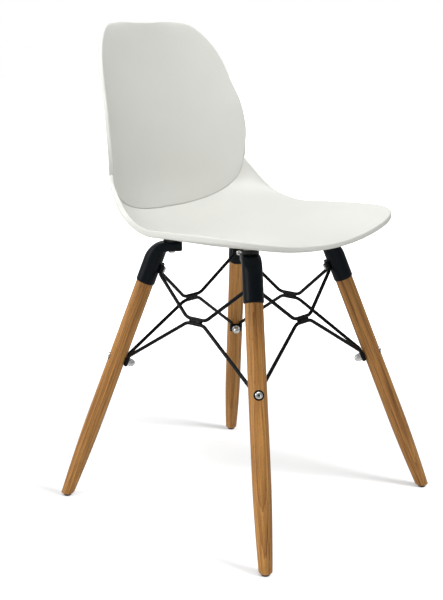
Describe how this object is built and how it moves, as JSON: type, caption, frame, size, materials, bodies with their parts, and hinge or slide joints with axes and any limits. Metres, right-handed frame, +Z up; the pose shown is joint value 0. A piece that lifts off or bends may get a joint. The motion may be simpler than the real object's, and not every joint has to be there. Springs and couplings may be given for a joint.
{
  "type": "dining chair",
  "caption": "Dining chair with a one-piece moulded white shell on splayed turned beech legs, black elbow sockets and bent black wire braces.",
  "frame": {"origin": "on the floor, at the middle of the chair's footprint", "axes": "+Z up, the front of the chair faces -Y, the sitter's left side is +X"},
  "size_m": [0.4696, 0.4854, 0.8283],
  "materials": {
    "white_shell": "satin moulded polypropylene with a very fine grain",
    "beech": "turned beech, stained honey brown, satin lacquer",
    "black_socket": "satin black powder coat",
    "black_wire": "semi-gloss black powder coat",
    "dark_glide": "dark moulded nylon",
    "bright_zinc": "bright plated steel",
    "black_washer": "black steel washer",
    "black_spacer": "black moulded spacer cup",
    "brass_insert": "threaded insert, hidden in the shell"
  },
  "bodies": {
    "root": {"seat_shell": "white_shell", "leg_front_left": "beech", "leg_front_right": "beech", "leg_rear_left": "beech", "leg_rear_right": "beech", "socket_front_left": "black_socket", "socket_front_right": "black_socket", "socket_rear_left": "black_socket", "socket_rear_right": "black_socket", "front_brace_upper_rod": "black_wire", "front_brace_lower_rod": "black_wire", "rear_brace_upper_rod": "black_wire", "rear_brace_lower_rod": "black_wire", "left_brace_upper_rod": "black_wire", "left_brace_lower_rod": "black_wire", "right_brace_upper_rod": "black_wire", "right_brace_lower_rod": "black_wire", "front_brace_weld": "black_wire", "rear_brace_weld": "black_wire", "left_brace_weld": "black_wire", "right_brace_weld": "black_wire", "upper_lug_front_left": "black_wire", "upper_lug_front_right": "black_wire", "upper_lug_rear_left": "black_wire", "upper_lug_rear_right": "black_wire", "lower_lug_front_left": "black_wire", "lower_lug_front_right": "black_wire", "lower_lug_rear_left": "black_wire", "lower_lug_rear_right": "black_wire", "glide_front_left": "dark_glide", "glide_front_right": "dark_glide", "glide_rear_left": "dark_glide", "glide_rear_right": "dark_glide", "glide_nails": "bright_zinc", "leg_bolts": "bright_zinc", "leg_bolt_washers": "black_washer", "cap_nuts": "bright_zinc", "cap_nut_washers": "bright_zinc", "brace_screws": "bright_zinc", "brace_screw_washers": "black_washer", "seat_bolts": "bright_zinc", "seat_bolt_washers": "black_washer", "seat_spacers": "black_spacer", "seat_inserts": "brass_insert"}
  },
  "joints": []
}
